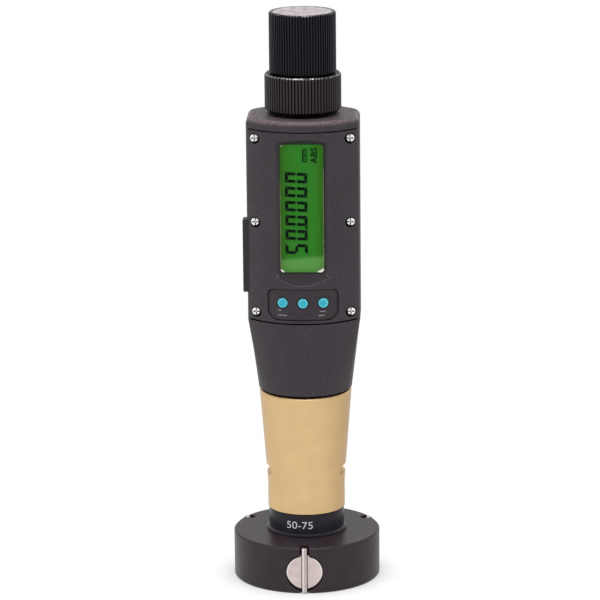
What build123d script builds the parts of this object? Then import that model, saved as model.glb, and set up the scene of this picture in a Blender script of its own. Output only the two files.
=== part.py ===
from build123d import *
import math
import os

# Digital inside micrometer for bores, with three anvils at 120 degrees.
# It stands on its measuring head. Z points up, the display faces -Y, and the
# origin is the centre of the underside of the head. All sizes are in millimetres.

os.makedirs("parts", exist_ok=True)

# Measuring range
range_min = 50.0
measuring_span = 25.0
anvil_travel = measuring_span / 2
cone_ratio = 2.0  # how far an anvil moves out for each millimetre that the cone drops
spindle_travel = anvil_travel / cone_ratio
anvil_angles = {"front": -90, "right_rear": 30, "left_rear": 150}

# Clearances
fit_gap = 0.02  # between pieces that are pressed, screwed or clamped together
running_gap = 0.05  # between pieces that turn or slide in each other
part_gap = 0.25  # seams and places where moving pieces pass without touching

# Measuring head
pin_proud = 0.5  # how far the contact pins stand out of the rim when the anvils are in
head_radius = range_min / 2 - pin_proud
head_edge = 0.5
head_roof = 1.4
head_wall = 9.9
cavity_radius = head_radius - head_wall
hub_radius = 8.5
hub_wall = 3.0
hub_height = 18.5
cover_rim = 0.6  # from the guide pins to the edge of the cover plate
cover_thickness = 0.8
cover_screw_slot = 0.3

# Anvils, their contact pins, guide pins and springs
anvil_radius = 5.94
anvil_height = 7.2  # height of the anvil axis above the underside
face_inset = 0.4  # how far the flat faces lie inside the rim when the anvils are in
anvil_face = head_radius - face_inset
anvil_edge = 0.4
mouth_gap = 0.35  # how much wider each bore is at its mouth
mouth_depth = 1.6
contact_radius = 1.05
contact_end_gap = 0.05
rim_slot_width = 3.25
rim_slot_depth = 3.7
guide_radius = 1.0
guide_edge = 0.2
slot_inner = 4.45  # from the instrument axis to the guide slots of the anvils
guide_place = slot_inner + part_gap + guide_radius + anvil_travel
cover_radius = guide_place + guide_radius + cover_rim
slope_reach = 1.0  # how far the cut of the slope runs past the instrument axis
spring_radius = 1.6
spring_room = 0.1
spring_wire = 0.3
spring_turns = 7
spring_drop = 2.9  # how far the spring axis lies below the anvil axis
spring_wall = 2.4  # metal between the inner tip of an anvil and its spring

# Measuring cone and spindle
cone_tip_radius = 2.0
cone_tip_gap = 0.1
cone_rim_gap = 0.4
cone_rim_height = 0.35
cone_roof_gap = 0.7  # from the cone up to the roof of the cavity
cone_gap = 0.04
spindle_radius = 3.0
stud_radius = 2.0
stud_length = 4.0
nut_radius = 5.0
nut_length = 12.5
nut_clearance = 2.05  # from the nut end of the spindle up to the encoder disc
key_width = 1.6
key_length = 12.0
key_depth = 1.0
key_root = 1.3  # how far the key lies outside the spindle

# Collar and sleeve
collar_radius = 12.6
collar_height = 7.7
flange_radius = 13.4
flange_height = 1.2
flange_rim = 0.7
sleeve_radius = 12.9
sleeve_straight = 9.4
sleeve_top_radius = 15.35
sleeve_length = 41.0
sleeve_edge = 0.4
spanner_flats = 23.2
spanner_slot_height = 3.0
spanner_slot_place = 12.2  # from the foot of the sleeve to the slot
spigot_radius = 11.5
spigot_length = 8.0
bush_radius = 8.0
bush_length = 18.0
bush_seat = 7.0

# Housing
housing_width = 37.1
housing_depth = 34.4
bow_radius = 23.0
housing_corner = 3.0
neck_radius = 14.2  # dark groove between the sleeve and the tapered foot
neck_height = 0.7
taper_height = 24.5
taper_foot_radius = 15.5
body_height = 68.2
top_round = 2.2
foot_chamfer = 0.3
bore_radius = 6.5

# Front cover
cover_plane = 8.8  # distance of the flat parting face in front of the axis
cover_foot = 0.5  # from the bend of the housing up to the lower seam
cover_head = 3.45  # from the upper seam up to the top of the housing
cover_edge = 0.3
cover_screw_inset = 2.95  # from the side of the housing to the screws
cover_screw_spacing = housing_width - 2 * cover_screw_inset
cover_screw_rows = (3.6, 33.8, 61.7)  # heights above the bend of the housing
screw_head_radius = 1.4
screw_head_height = 0.8
screw_head_round = 0.35
screw_sink_radius = 1.75
screw_shank_radius = 0.75
screw_shank_length = 5.0
screw_seat = 0.8  # thickness of the cover under a screw head
cross_width = 0.45
cross_depth = 0.6
cross_length = 2.2
cover_wall = 1.5
cover_front_wall = 2.6  # from the floor of the display recess to the board pocket

# Display
display_width = 14.9
display_height = 43.1
display_place = 38.9  # from the bend of the housing to the centre of the display
display_floor = 14.6  # distance of the recess floor in front of the axis
display_lip = 0.6
display_corner = 1.3
bevel_side = 1.7  # how much the bevels widen for each millimetre of depth
bevel_top = 0.7
bevel_foot = 1.55
window_rim = 0.8
window_thickness = 1.0
window_inset = 0.15  # how far the face of the window lies below the recess floor
window_edge = 0.3
panel_gap = 0.1  # between the window and the display cell
board_margin = 2.05  # from the edge of the board to a screw
board_width = cover_screw_spacing - 2 * (screw_shank_radius + board_margin)
board_thickness = 1.0

# Buttons
button_radius = 1.6
button_edge = 0.3
button_hole_radius = 1.95
button_spacing = 6.65
button_place = 7.7  # above the bend of the housing
button_proud = 0.45
button_travel = 0.5
button_wall = 2.7  # thickness of the cover in front of the button flanges
button_panel_width = 23.4
button_panel_height = 10.6
button_panel_drop = 0.6  # how far the panel is centred below the buttons
button_panel_corner = 2.2
button_panel_foot_corner = 3.6
button_panel_depth = 0.5
flange_of_button = 2.4
flange_thickness = 0.7
button_stem_radius = 1.2
key_switch_size = 4.0
key_switch_height = 1.0

# Battery tray
cell_radius = 10.0
cell_thickness = 3.2
tray_thickness = 4.3
tray_back = 3.8  # distance of the rear face of the tray in front of the axis
tray_rail = 1.1
tray_floor = 0.6
tray_place = 21.8  # from the bend of the housing to the centre of the tray
tray_bar_height = 24.4
tray_bar_width = 2.6
tray_bar_proud = 1.45
tray_bar_round = 0.5
cell_round = 0.5
contact_pad_radius = 1.2
contact_pad_spacing = 8.0
contact_pad_seat = 1.0

# Thimble
ring_radius = 12.6
ring_height = 12.5
ring_lift = 0.9
ring_ribs = 72
ring_edge = 0.5
ring_foot_edge = 1.0
rib_depth = 0.4
rib_run_out = 0.1  # how far the groove cuts reach outside the knurl
groove_mouth = 0.6  # width of a groove at the knurl, as a share of the pitch
groove_floor = 0.2
hub_bore_radius = 6.0
bearing_radius = 8.4
bearing_length = 7.4
thimble_nut_radius = 7.5
thimble_nut_height = 2.2
thread_radius = 4.6
drive_radius = 3.5
drive_end = 2.0  # how far the foot of the drive screw lies above the foot of the nut end
disc_radius = 7.5
disc_thickness = 1.0
disc_gap = 0.4
stator_bore_radius = 5.0
chamber_radius = 8.0

# Ratchet knob
knob_radius = 11.0
knob_height = 20.0
knob_ribs = 72
knob_edge = 0.45
knob_cavity_radius = 8.0
knob_web = 6.0
knob_web_place = 8.6  # from the foot of the knob to its web
knob_stud_radius = 2.5
ratchet_radius = 7.5
ratchet_thickness = 2.6
ratchet_teeth = 24
tooth_depth = 0.5
tooth_land = 0.05
cup_thickness = 0.5
knob_screw_radius = 4.2
knob_screw_head = 2.1
knob_screw_shank = 1.2
knob_screw_slot = 1.0
cap_radius = 9.7
cap_thickness = 1.8
cap_edge = 0.2

# Levels, worked out from the foot up
cone_tip = cover_thickness + cone_tip_gap + spindle_travel
cone_rim_radius = cavity_radius - cone_rim_gap
cone_rim = cone_tip + (cone_rim_radius - cone_tip_radius) / cone_ratio
cone_top = cone_rim + cone_rim_height
cavity_top = cone_top + cone_roof_gap
head_height = cavity_top + head_roof
collar_foot = head_height
sleeve_foot = collar_foot + collar_height
sleeve_top = sleeve_foot + sleeve_length
taper_foot = sleeve_top + neck_height
housing_bend = taper_foot + taper_height
housing_top = housing_bend + body_height
ring_foot = housing_top + ring_lift
ring_top = ring_foot + ring_height
knob_foot = ring_top + part_gap
knob_top = knob_foot + knob_height
bearing_foot = housing_top - bearing_length
thimble_nut_foot = bearing_foot - running_gap - thimble_nut_height
stator_foot = thimble_nut_foot - disc_gap - disc_thickness
rotor_foot = stator_foot - disc_gap - disc_thickness
nut_top = rotor_foot - nut_clearance
nut_foot = nut_top - nut_length
hub_top = head_height + hub_height
spring_height = anvil_height - spring_drop
front_centre = bow_radius - housing_depth / 2


def turn(outline, mode=Mode.ADD):
    """Turn an outline of (radius, height) points about the instrument axis."""
    with BuildSketch(Plane.XZ) as section:
        with BuildLine():
            Polyline(*outline, close=True)
        make_face()
    revolve(section.sketch, axis=Axis.Z, mode=mode)


def rod(start, direction, radius, length, mode=Mode.ADD):
    """A round rod, or a bore, from a start point along a direction."""
    with BuildSketch(Plane(origin=start, z_dir=direction)) as end:
        Circle(radius)
    extrude(end.sketch, amount=length, mode=mode)


def block(x_ends, y_ends, z_ends, mode=Mode.ADD):
    """A rectangular block, or a cut, between two ends on each axis."""
    low = (min(x_ends), min(y_ends), min(z_ends))
    size = (abs(x_ends[1] - x_ends[0]), abs(y_ends[1] - y_ends[0]), abs(z_ends[1] - z_ends[0]))
    with Locations(low):
        Box(*size, align=(Align.MIN, Align.MIN, Align.MIN), mode=mode)


def front_plane(distance, height=0.0):
    """Upright plane at a distance in front of the axis, its own Y pointing up."""
    return Plane(origin=(0, -distance, height), x_dir=(1, 0, 0), z_dir=(0, -1, 0))


def oval(height):
    """Level section of the housing: bowed front and back, flat sides, round corners."""
    with BuildSketch(Plane.XY.offset(height)) as section:
        Rectangle(housing_width, 2 * housing_depth)
        with Locations((0, front_centre)):
            Circle(bow_radius, mode=Mode.INTERSECT)
        with Locations((0, -front_centre)):
            Circle(bow_radius, mode=Mode.INTERSECT)
        fillet(section.vertices(), housing_corner)
    return section.sketch


def round_foot(height, radius):
    """Circle split into arcs at the angles of the oval's corners, to loft edge to edge."""
    corners = sorted(math.degrees(math.atan2(v.Y, v.X)) for v in oval(height).vertices())
    following = corners[1:] + [corners[0] + math.degrees(math.tau)]
    with BuildSketch(Plane.XY.offset(height)) as section:
        with BuildLine():
            for angle, next_angle in zip(corners, following):
                CenterArc((0, 0), radius, angle, next_angle - angle)
        make_face()
    return section.sketch


def front_depth(x, inset):
    """Distance in front of the axis of a face set in from the bowed front."""
    return math.sqrt((bow_radius - inset) ** 2 - x**2) - front_centre


def ribbed(radius, ribs, height):
    """Level section of a straight knurl: a circle with evenly spaced V grooves."""
    half_pitch = math.pi * radius / ribs
    mouth = groove_mouth * half_pitch
    floor = groove_floor * half_pitch
    with BuildSketch() as groove:
        with BuildLine():
            Polyline((rib_run_out, mouth), (-rib_depth, floor), (-rib_depth, -floor), (rib_run_out, -mouth))
            Line((rib_run_out, -mouth), (rib_run_out, mouth))
        make_face()
    with BuildSketch(Plane.XY.offset(height)) as section:
        Circle(radius)
        with PolarLocations(radius, ribs):
            add(groove.sketch, mode=Mode.SUBTRACT)
    return section.sketch


def bevel_end(radius, level, edge, up):
    """Cut the bevel at one end of a knurl: its level, its size, and 1 upwards or -1 down."""
    reach = radius + part_gap
    turn([(radius - edge, level), (reach, level), (reach, level + up * (edge + part_gap))], Mode.SUBTRACT)


# Measuring head: the disc, its hub, three radial bores and the slots of the contact pins
cover_screw_place = (cavity_radius + cover_radius) / 2
with BuildPart() as head_disc:
    turn(
        [
            (cover_radius + running_gap, 0),
            (head_radius - head_edge, 0),
            (head_radius, head_edge),
            (head_radius, head_height - head_edge),
            (head_radius - head_edge, head_height),
            (hub_radius, head_height),
            (hub_radius, hub_top),
            (hub_radius - hub_wall, hub_top),
            (hub_radius - hub_wall, cavity_top),
            (cavity_radius, cavity_top),
            (cavity_radius, cover_thickness),
            (cover_radius + running_gap, cover_thickness),
        ]
    )
    for angle in anvil_angles.values():
        outward = Vector(1, 0, 0).rotate(Axis.Z, angle)
        bore_start = Vector(0, 0, anvil_height) + outward * (cavity_radius / 2)
        rod(bore_start, outward, anvil_radius + running_gap, head_radius, Mode.SUBTRACT)
        mouth_start = Vector(0, 0, anvil_height) + outward * (head_radius - mouth_depth)
        rod(mouth_start, outward, anvil_radius + mouth_gap, head_radius, Mode.SUBTRACT)
        guide_foot = outward * guide_place
        rod(guide_foot, (0, 0, 1), guide_radius + fit_gap, anvil_height, Mode.SUBTRACT)
        slot_end = outward * (head_radius - rim_slot_depth + rim_slot_width / 2)
        with BuildSketch(Plane(origin=slot_end, x_dir=outward, z_dir=(0, 0, 1))) as rim_slot:
            Circle(rim_slot_width / 2)
            Rectangle(rim_slot_depth, rim_slot_width, align=(Align.MIN, Align.CENTER))
        extrude(rim_slot.sketch, amount=head_height, mode=Mode.SUBTRACT)
        screw_foot = Vector(cover_screw_place, 0, 0).rotate(Axis.Z, angle + 60)
        rod(screw_foot, (0, 0, 1), screw_shank_radius + fit_gap, screw_shank_length, Mode.SUBTRACT)
head_disc.part.label = "head_disc"
export_step(head_disc.part, "parts/head_disc.step")

# Cover plate under the head, with three countersunk screws
with BuildPart() as head_cover:
    Cylinder(cover_radius, cover_thickness, align=(Align.CENTER, Align.CENTER, Align.MIN))
    with PolarLocations(guide_place, 3, start_angle=30):
        Cylinder(guide_radius + fit_gap, 4 * cover_thickness, mode=Mode.SUBTRACT)
    with PolarLocations(cover_screw_place, 3, start_angle=-30):
        Cylinder(screw_shank_radius + fit_gap, 4 * cover_thickness, mode=Mode.SUBTRACT)
        Cone(
            2 * screw_shank_radius + 2 * fit_gap,
            screw_shank_radius + fit_gap,
            screw_shank_radius,
            align=(Align.CENTER, Align.CENTER, Align.MIN),
            mode=Mode.SUBTRACT,
        )
head_cover.part.label = "head_cover"
export_step(head_cover.part, "parts/head_cover.step")

with BuildPart() as head_cover_screws:
    with PolarLocations(cover_screw_place, 3, start_angle=-30):
        Cone(
            2 * screw_shank_radius,
            screw_shank_radius,
            screw_shank_radius,
            align=(Align.CENTER, Align.CENTER, Align.MIN),
        )
        shank_length = screw_shank_length - 2 * part_gap
        Cylinder(screw_shank_radius, shank_length, align=(Align.CENTER, Align.CENTER, Align.MIN))
    with PolarLocations(cover_screw_place, 3, start_angle=-30):
        Box(3 * screw_shank_radius, cover_screw_slot, screw_shank_radius, mode=Mode.SUBTRACT)
head_cover_screws.part.label = "head_cover_screws"
export_step(head_cover_screws.part, "parts/head_cover_screws.step")

# Guide pins: they keep the anvils from turning and are what the springs push against
guide_top = spring_height + spring_radius - spring_wire
with BuildPart() as guide_pins:
    with PolarLocations(guide_place, 3, start_angle=30):
        Cylinder(guide_radius, guide_top, align=(Align.CENTER, Align.CENTER, Align.MIN))
    chamfer(guide_pins.edges().filter_by(GeomType.CIRCLE).group_by(Axis.Z)[-1], guide_edge)
guide_pins.part.label = "guide_pins"
export_step(guide_pins.part, "parts/guide_pins.step")

# Anvil: a round plunger whose inner end is cut to the slope of the cone
pin_groove = range_min / 2 - contact_radius
slot_outer = guide_place + guide_radius + part_gap
slope_foot = -slope_reach
slope_foot_height = cone_tip + (slope_foot - cone_tip_radius - cone_gap) / cone_ratio
slope_head = cone_tip_radius + cone_gap + (head_height - cone_tip) * cone_ratio
with BuildPart() as anvil:
    rod((0, 0, anvil_height), (1, 0, 0), anvil_radius, anvil_face)
    chamfer(anvil.faces().sort_by(Axis.X)[-1].edges(), anvil_edge)
    with BuildSketch(Plane.XZ.offset(-head_radius)) as slope:
        with BuildLine():
            Polyline(
                (slope_foot, slope_foot_height),
                (slope_head, head_height),
                (slope_foot, head_height),
                close=True,
            )
        make_face()
    extrude(slope.sketch, amount=2 * head_radius, mode=Mode.SUBTRACT)
    with BuildSketch() as sector:
        with BuildLine():
            sector_reach = 2 * head_radius
            sector_half = (sector_reach - part_gap) * math.tan(math.radians(60))
            Polyline((part_gap, 0), (sector_reach, sector_half), (sector_reach, -sector_half), close=True)
        make_face()
    extrude(sector.sketch, amount=head_height, mode=Mode.INTERSECT)
    spring_hole = spring_radius + spring_room
    rod((spring_wall, 0, spring_height), (1, 0, 0), spring_hole, slot_outer - spring_wall, Mode.SUBTRACT)
    with BuildSketch() as guide_slot:
        with Locations(((slot_inner + slot_outer) / 2, 0)):
            SlotOverall(slot_outer - slot_inner, 2 * (guide_radius + running_gap))
    extrude(guide_slot.sketch, amount=guide_top + part_gap, mode=Mode.SUBTRACT)
    rod((pin_groove, 0, 0), (0, 0, 1), contact_radius + fit_gap, head_height, Mode.SUBTRACT)

with BuildPart() as contact_pin:
    rod((pin_groove, 0, contact_end_gap), (0, 0, 1), contact_radius, head_height - 2 * contact_end_gap)
    fillet(contact_pin.edges().filter_by(GeomType.CIRCLE), 0.55 * contact_radius)

# Return spring, from the end of its bore to the guide pin
spring_length = guide_place - guide_radius - spring_wall - spring_wire
with BuildPart() as anvil_spring:
    coil_start = (spring_wall + spring_wire / 2, 0, 0)
    coil_radius = spring_radius - spring_wire / 2
    with BuildLine() as coil:
        Helix(spring_length / spring_turns, spring_length, coil_radius, coil_start, (1, 0, 0))
    with BuildSketch(Plane(origin=coil.line @ 0, z_dir=coil.line % 0)):
        RegularPolygon(spring_wire / 2, 6)
    sweep(is_frenet=True)

for side, angle in anvil_angles.items():
    with BuildPart() as anvil_placed:
        add(anvil.part.rotate(Axis.Z, angle))
    anvil_placed.part.label = f"anvil_{side}"
    export_step(anvil_placed.part, f"parts/anvil_{side}.step")
    with BuildPart() as pin_placed:
        add(contact_pin.part.rotate(Axis.Z, angle))
    pin_placed.part.label = f"contact_pin_{side}"
    export_step(pin_placed.part, f"parts/contact_pin_{side}.step")
    with BuildPart() as spring_placed:
        coil_turned = anvil_spring.part.moved(Location((0, 0, spring_height)))
        add(coil_turned.rotate(Axis.Z, angle))
    spring_placed.part.label = f"anvil_spring_{side}"
    export_step(spring_placed.part, f"parts/anvil_spring_{side}.step")

# Cone that pushes the anvils out as it drops
with BuildPart() as measuring_cone:
    turn(
        [
            (0, cone_tip),
            (cone_tip_radius, cone_tip),
            (cone_rim_radius, cone_rim),
            (cone_rim_radius, cone_top),
            (stud_radius + fit_gap, cone_top),
            (stud_radius + fit_gap, cone_top - stud_length - fit_gap),
            (0, cone_top - stud_length - fit_gap),
        ]
    )
measuring_cone.part.label = "measuring_cone"
export_step(measuring_cone.part, "parts/measuring_cone.step")

# Spindle: stud, long rod with a keyway, and the nut end that runs on the drive screw
nut_bore = spindle_radius + running_gap
drive_foot = nut_foot + drive_end
nut_floor = drive_foot - part_gap
bush_foot = hub_top + part_gap + bush_seat
key_foot = bush_foot + (bush_length - key_length) / 2
key_top = key_foot + key_length
with BuildPart() as spindle:
    turn(
        [
            (0, cone_top - stud_length),
            (stud_radius, cone_top - stud_length),
            (stud_radius, cone_top),
            (spindle_radius, cone_top),
            (spindle_radius, nut_foot),
            (nut_radius, nut_foot),
            (nut_radius, nut_top),
            (nut_bore, nut_top),
            (nut_bore, nut_floor),
            (0, nut_floor),
        ]
    )
    keyway_x = (-key_width / 2 - running_gap, key_width / 2 + running_gap)
    keyway_y = (spindle_radius - key_depth - running_gap, 2 * spindle_radius)
    keyway_z = (key_foot - part_gap, key_top + spindle_travel + part_gap)
    block(keyway_x, keyway_y, keyway_z, Mode.SUBTRACT)
spindle.part.label = "spindle"
export_step(spindle.part, "parts/spindle.step")

# Spindle bush in the sleeve, with the key that keeps the spindle from turning
key_back = spindle_radius + key_root
with BuildPart() as spindle_bush:
    turn(
        [
            (spindle_radius + running_gap, bush_foot),
            (bush_radius, bush_foot),
            (bush_radius, bush_foot + bush_length),
            (spindle_radius + running_gap, bush_foot + bush_length),
        ]
    )
    bush_slot_x = (-key_width / 2 - fit_gap, key_width / 2 + fit_gap)
    block(bush_slot_x, (0, key_back + fit_gap), (key_foot, bush_foot + bush_length), Mode.SUBTRACT)
spindle_bush.part.label = "spindle_bush"
export_step(spindle_bush.part, "parts/spindle_bush.step")

with BuildPart() as spindle_key:
    block((-key_width / 2, key_width / 2), (spindle_radius - key_depth, key_back), (key_foot, key_top))
spindle_key.part.label = "spindle_key"
export_step(spindle_key.part, "parts/spindle_key.step")

# Collar that carries the range figures, clamped between the head and the sleeve
with BuildPart() as range_collar:
    turn(
        [
            (hub_radius + fit_gap, collar_foot),
            (flange_radius, collar_foot),
            (flange_radius, collar_foot + flange_rim),
            (collar_radius, collar_foot + flange_height),
            (collar_radius, sleeve_foot),
            (hub_radius + fit_gap, sleeve_foot),
        ]
    )
range_collar.part.label = "range_collar"
export_step(range_collar.part, "parts/range_collar.step")

# Sleeve with two spanner slots, screwed on the hub and fitted into the housing
spigot_top = sleeve_top + spigot_length
spanner_foot = sleeve_foot + spanner_slot_place
with BuildPart() as sleeve:
    turn(
        [
            (hub_radius + fit_gap, sleeve_foot),
            (sleeve_radius - sleeve_edge, sleeve_foot),
            (sleeve_radius, sleeve_foot + sleeve_edge),
            (sleeve_radius, sleeve_foot + sleeve_straight),
            (sleeve_top_radius, sleeve_top - sleeve_edge),
            (sleeve_top_radius - sleeve_edge, sleeve_top),
            (spigot_radius, sleeve_top),
            (spigot_radius, spigot_top),
            (bush_radius + fit_gap, spigot_top),
            (bush_radius + fit_gap, bush_foot),
            (hub_radius - hub_wall, bush_foot),
            (hub_radius - hub_wall, hub_top + part_gap),
            (hub_radius + fit_gap, hub_top + part_gap),
        ]
    )
    for side in (-1, 1):
        slot_x = (side * spanner_flats / 2, side * 2 * sleeve_radius)
        slot_z = (spanner_foot, spanner_foot + spanner_slot_height)
        block(slot_x, (-2 * sleeve_radius, 2 * sleeve_radius), slot_z, Mode.SUBTRACT)
sleeve.part.label = "sleeve"
export_step(sleeve.part, "parts/sleeve.step")

# Levels and places inside the housing
cover_low = housing_bend + cover_foot
cover_high = housing_top - cover_head
tray_middle = housing_bend + tray_place
tray_front = tray_back + tray_thickness
tray_half = cell_radius + tray_rail
tray_bar_outer = housing_width / 2 + tray_bar_proud
tray_bar_inner = tray_bar_outer - tray_bar_width
tray_end = cell_radius + 2 * tray_rail + cell_radius - tray_bar_inner
chamber_foot = rotor_foot - part_gap
screw_places = [
    (side * cover_screw_spacing / 2, housing_bend + row) for side in (-1, 1) for row in cover_screw_rows
]
screw_floor = cover_plane + screw_seat

# Housing: oval body on a round tapered foot, with a narrow neck above the sleeve
with BuildPart() as housing:
    loft([round_foot(taper_foot, taper_foot_radius), oval(housing_bend)], ruled=True)
    extrude(oval(housing_bend), amount=body_height)
    fillet(housing.edges().group_by(Axis.Z)[-1], top_round)
    chamfer(housing.edges().group_by(Axis.Z)[0], foot_chamfer)
    rod((0, 0, sleeve_top), (0, 0, 1), neck_radius, neck_height)
    turn(
        [
            (0, sleeve_top),
            (spigot_radius + fit_gap, sleeve_top),
            (spigot_radius + fit_gap, spigot_top + part_gap),
            (bore_radius, spigot_top + part_gap),
            (bore_radius, chamber_foot),
            (chamber_radius, chamber_foot),
            (chamber_radius, bearing_foot),
            (bearing_radius + fit_gap, bearing_foot),
            (bearing_radius + fit_gap, housing_top),
            (0, housing_top),
        ],
        Mode.SUBTRACT,
    )
    block(
        (-housing_width, housing_width),
        (-housing_depth, -cover_plane),
        (cover_low - fit_gap, cover_high + fit_gap),
        Mode.SUBTRACT,
    )
    tray_y = (-tray_front - running_gap, -tray_back + running_gap)
    tray_z = (tray_middle - tray_half - running_gap, tray_middle + tray_half + running_gap)
    block((-housing_width, tray_end + part_gap), tray_y, tray_z, Mode.SUBTRACT)
    bar_z = (
        tray_middle - tray_bar_height / 2 - running_gap,
        tray_middle + tray_bar_height / 2 + running_gap,
    )
    block((-housing_width, -tray_bar_inner + running_gap), tray_y, bar_z, Mode.SUBTRACT)
    for x, z in screw_places:
        rod((x, -cover_plane, z), (0, 1, 0), screw_shank_radius + fit_gap, screw_shank_length, Mode.SUBTRACT)
    for row in (-1, 1):
        pad_start = (-cell_radius / 2, -cover_plane, tray_middle + row * contact_pad_spacing / 2)
        rod(pad_start, (0, 1, 0), contact_pad_radius + fit_gap, contact_pad_seat, Mode.SUBTRACT)
housing.part.label = "housing"
export_step(housing.part, "parts/housing.step")

# Front cover, with the bevelled display recess and the button panel
display_middle = housing_bend + display_place
display_back = display_floor - display_lip
button_height = housing_bend + button_place
pocket_depth = display_floor - cover_front_wall
button_back = housing_depth / 2 - button_panel_depth - button_wall
mouth_plane = housing_depth / 2 + cover_wall
bevel_depth = mouth_plane - display_floor
bevel_width = display_width + 2 * bevel_side * bevel_depth
bevel_height = display_height + (bevel_top + bevel_foot) * bevel_depth
bevel_shift = (bevel_top - bevel_foot) * bevel_depth / 2
with BuildPart() as front_cover:
    extrude(oval(cover_low + part_gap), amount=cover_high - cover_low - 2 * part_gap)
    block(
        (-housing_width, housing_width),
        (-cover_plane, housing_depth),
        (cover_low, cover_high),
        Mode.SUBTRACT,
    )
    for end in (0, -1):
        end_face = front_cover.faces().sort_by(Axis.Z)[end]
        chamfer(end_face.edges().sort_by(Axis.Y)[:-1], cover_edge)
    with BuildSketch(front_plane(display_floor, display_middle)) as recess_floor:
        RectangleRounded(display_width, display_height, display_corner)
    with BuildSketch(front_plane(display_floor + bevel_depth, display_middle + bevel_shift)) as recess_mouth:
        RectangleRounded(bevel_width, bevel_height, display_corner)
    loft([recess_floor.sketch, recess_mouth.sketch], ruled=True, mode=Mode.SUBTRACT)
    extrude(recess_floor.sketch, amount=-display_lip, mode=Mode.SUBTRACT)
    with BuildSketch(front_plane(cover_plane, display_middle)) as window_pocket:
        Rectangle(display_width + 2 * window_rim + 4 * fit_gap, display_height + 2 * window_rim + 4 * fit_gap)
    extrude(window_pocket.sketch, amount=display_back - cover_plane, mode=Mode.SUBTRACT)
    block(
        (-board_width / 2 - part_gap, board_width / 2 + part_gap),
        (-pocket_depth, -cover_plane),
        (cover_low + cover_wall, cover_high - cover_wall),
        Mode.SUBTRACT,
    )
    button_pocket_half = button_spacing + flange_of_button + part_gap
    block(
        (-button_pocket_half, button_pocket_half),
        (-button_back, -cover_plane),
        (button_height - flange_of_button - part_gap, button_height + flange_of_button + part_gap),
        Mode.SUBTRACT,
    )
    with BuildSketch(front_plane(cover_plane, button_height - button_panel_drop)) as panel_outline:
        Rectangle(button_panel_width, button_panel_height)
        fillet(panel_outline.vertices().group_by(Axis.Y)[-1], button_panel_corner)
        fillet(panel_outline.vertices().group_by(Axis.Y)[0], button_panel_foot_corner)
    with BuildSketch(Plane.XY.offset(cover_low)) as panel_depth:
        with Locations((0, front_centre)):
            Circle(bow_radius + cover_wall)
            Circle(bow_radius - button_panel_depth, mode=Mode.SUBTRACT)
    panel_ring = extrude(panel_depth.sketch, amount=cover_high - cover_low, mode=Mode.PRIVATE)
    panel_block = extrude(panel_outline.sketch, amount=housing_depth, mode=Mode.PRIVATE)
    add(panel_ring & panel_block, mode=Mode.SUBTRACT)
    for place in (-1, 0, 1):
        hole_start = (place * button_spacing, -cover_plane, button_height)
        rod(hole_start, (0, -1, 0), button_hole_radius, housing_depth, Mode.SUBTRACT)
    for x, z in screw_places:
        rod((x, -screw_floor, z), (0, -1, 0), screw_sink_radius, housing_depth, Mode.SUBTRACT)
        rod((x, 0, z), (0, -1, 0), screw_shank_radius + fit_gap, housing_depth, Mode.SUBTRACT)
front_cover.part.label = "front_cover"
export_step(front_cover.part, "parts/front_cover.step")

# Six cross-recessed screws of the front cover
with BuildPart() as front_cover_screws:
    for x, z in screw_places:
        rod((x, -screw_floor, z), (0, -1, 0), screw_head_radius, screw_head_height)
    fillet(front_cover_screws.faces().filter_by(Axis.Y).group_by(Axis.Y)[0].edges(), screw_head_round)
    for x, z in screw_places:
        shank = screw_floor - cover_plane + screw_shank_length - part_gap
        rod((x, -screw_floor, z), (0, 1, 0), screw_shank_radius, shank)
        with BuildSketch(front_plane(screw_floor + screw_head_height - cross_depth, z)) as cross:
            with Locations((x, 0)):
                Rectangle(cross_length, cross_width)
                Rectangle(cross_width, cross_length)
        extrude(cross.sketch, amount=screw_head_height, mode=Mode.SUBTRACT)
front_cover_screws.part.label = "front_cover_screws"
export_step(front_cover_screws.part, "parts/front_cover_screws.step")

# Clear window, display cell, circuit board and key switches, stacked from front to back
with BuildPart() as display_window:
    with BuildSketch(front_plane(display_back - window_thickness, display_middle)) as window_flange:
        Rectangle(display_width + 2 * window_rim, display_height + 2 * window_rim)
    extrude(window_flange.sketch, amount=window_thickness)
    with BuildSketch(front_plane(display_back, display_middle)) as window_front:
        front_size = (display_width - 2 * running_gap, display_height - 2 * running_gap)
        RectangleRounded(*front_size, display_corner - running_gap)
    extrude(window_front.sketch, amount=display_lip - window_inset)
    chamfer(display_window.faces().sort_by(Axis.Y)[0].edges(), window_edge)
display_window.part.label = "display_window"
export_step(display_window.part, "parts/display_window.step")

board_front = cover_plane + board_thickness
with BuildPart() as lcd_panel:
    with BuildSketch(front_plane(board_front, display_middle)):
        Rectangle(display_width + window_rim, display_height + window_rim)
    extrude(amount=display_back - window_thickness - board_front - panel_gap)
lcd_panel.part.label = "lcd_panel"
export_step(lcd_panel.part, "parts/lcd_panel.step")

with BuildPart() as circuit_board:
    block(
        (-board_width / 2, board_width / 2),
        (-cover_plane, -board_front),
        (cover_low + cover_wall + part_gap, cover_high - cover_wall - part_gap),
    )
circuit_board.part.label = "circuit_board"
export_step(circuit_board.part, "parts/circuit_board.step")

with BuildPart() as key_switches:
    with BuildSketch(front_plane(board_front, button_height)):
        with GridLocations(button_spacing, 0, 3, 1):
            Rectangle(key_switch_size, key_switch_size)
    extrude(amount=key_switch_height)
key_switches.part.label = "key_switches"
export_step(key_switches.part, "parts/key_switches.step")

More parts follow.
